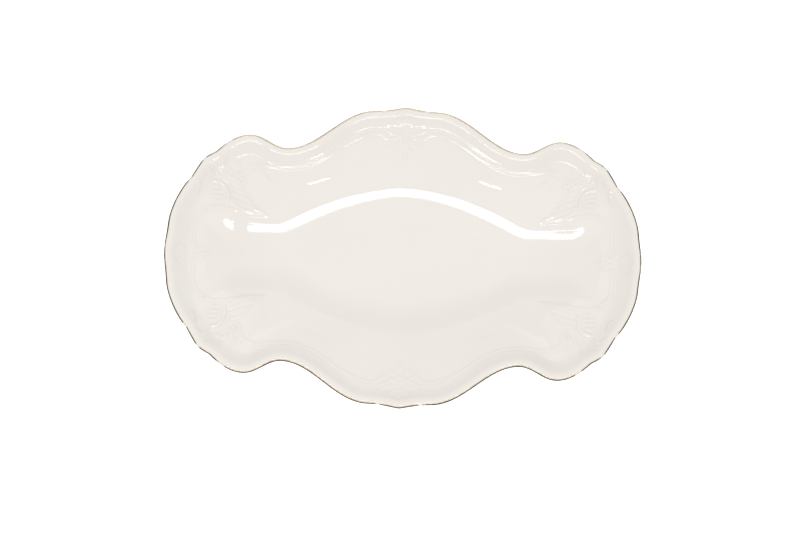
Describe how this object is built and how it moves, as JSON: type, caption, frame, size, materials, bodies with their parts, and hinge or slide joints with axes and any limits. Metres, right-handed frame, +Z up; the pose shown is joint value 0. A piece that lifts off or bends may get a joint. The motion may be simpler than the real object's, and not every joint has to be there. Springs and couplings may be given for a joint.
{
  "type": "china serving platter",
  "caption": "Shallow lobed oval serving platter in glazed porcelain, with a pinched waist on each long side, moulded line and relief inside the lip, an oval foot ring and a gold edge line.",
  "frame": {"origin": "centre of the standing ring, on its flat face", "axes": "+X along the length of the platter, +Y across it, +Z up out of the dish"},
  "size_m": [0.34, 0.217, 0.029],
  "materials": {
    "bare_porcelain": "matte",
    "clear_glaze": "gloss",
    "bright_gold": "polished"
  },
  "bodies": {
    "root": {"porcelain_body": "bare_porcelain", "glaze_coat": "clear_glaze", "base_glaze": "clear_glaze", "gilt_line": "bright_gold"}
  },
  "joints": []
}
